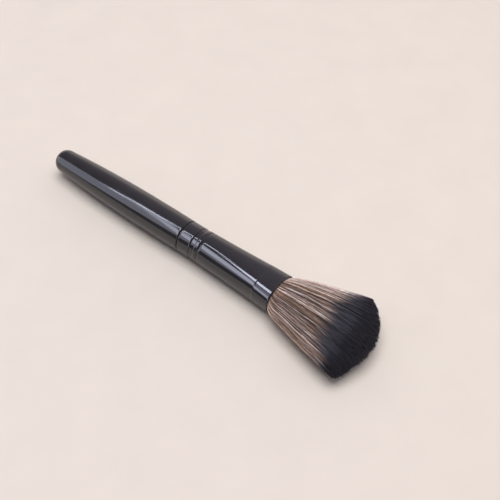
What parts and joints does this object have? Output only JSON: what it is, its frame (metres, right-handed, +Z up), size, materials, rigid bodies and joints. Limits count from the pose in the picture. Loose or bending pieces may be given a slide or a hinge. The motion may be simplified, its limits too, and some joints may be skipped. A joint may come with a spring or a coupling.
{
  "type": "powder brush",
  "caption": "Short cosmetic brush with a black lacquered handle, a crimped black ferrule and a wide, slant-cut, domed tuft with dyed tips, lying on its side.",
  "frame": {"origin": "on the table that the brush lies on, under the middle of its length and of the tuft's width", "axes": "+X along the brush from the butt of the handle to the tips of the tuft; +Y across the flat of the tuft, towards its shorter side; +Z up from the table"},
  "size_m": [0.1442, 0.0322, 0.0126],
  "materials": {
    "lacquered_wood": "gloss black lacquer",
    "black_aluminium": "gloss black coating",
    "adhesive": "cured adhesive",
    "resin": "cured resin",
    "thread": "cotton thread",
    "hair": "mixed brown and grey hair with blue-black dyed tips"
  },
  "bodies": {
    "root": {"handle": "lacquered_wood", "ferrule": "black_aluminium", "tenon_glue": "adhesive", "root_glue": "resin", "binding_thread": "thread", "bristles": "hair"}
  },
  "joints": []
}
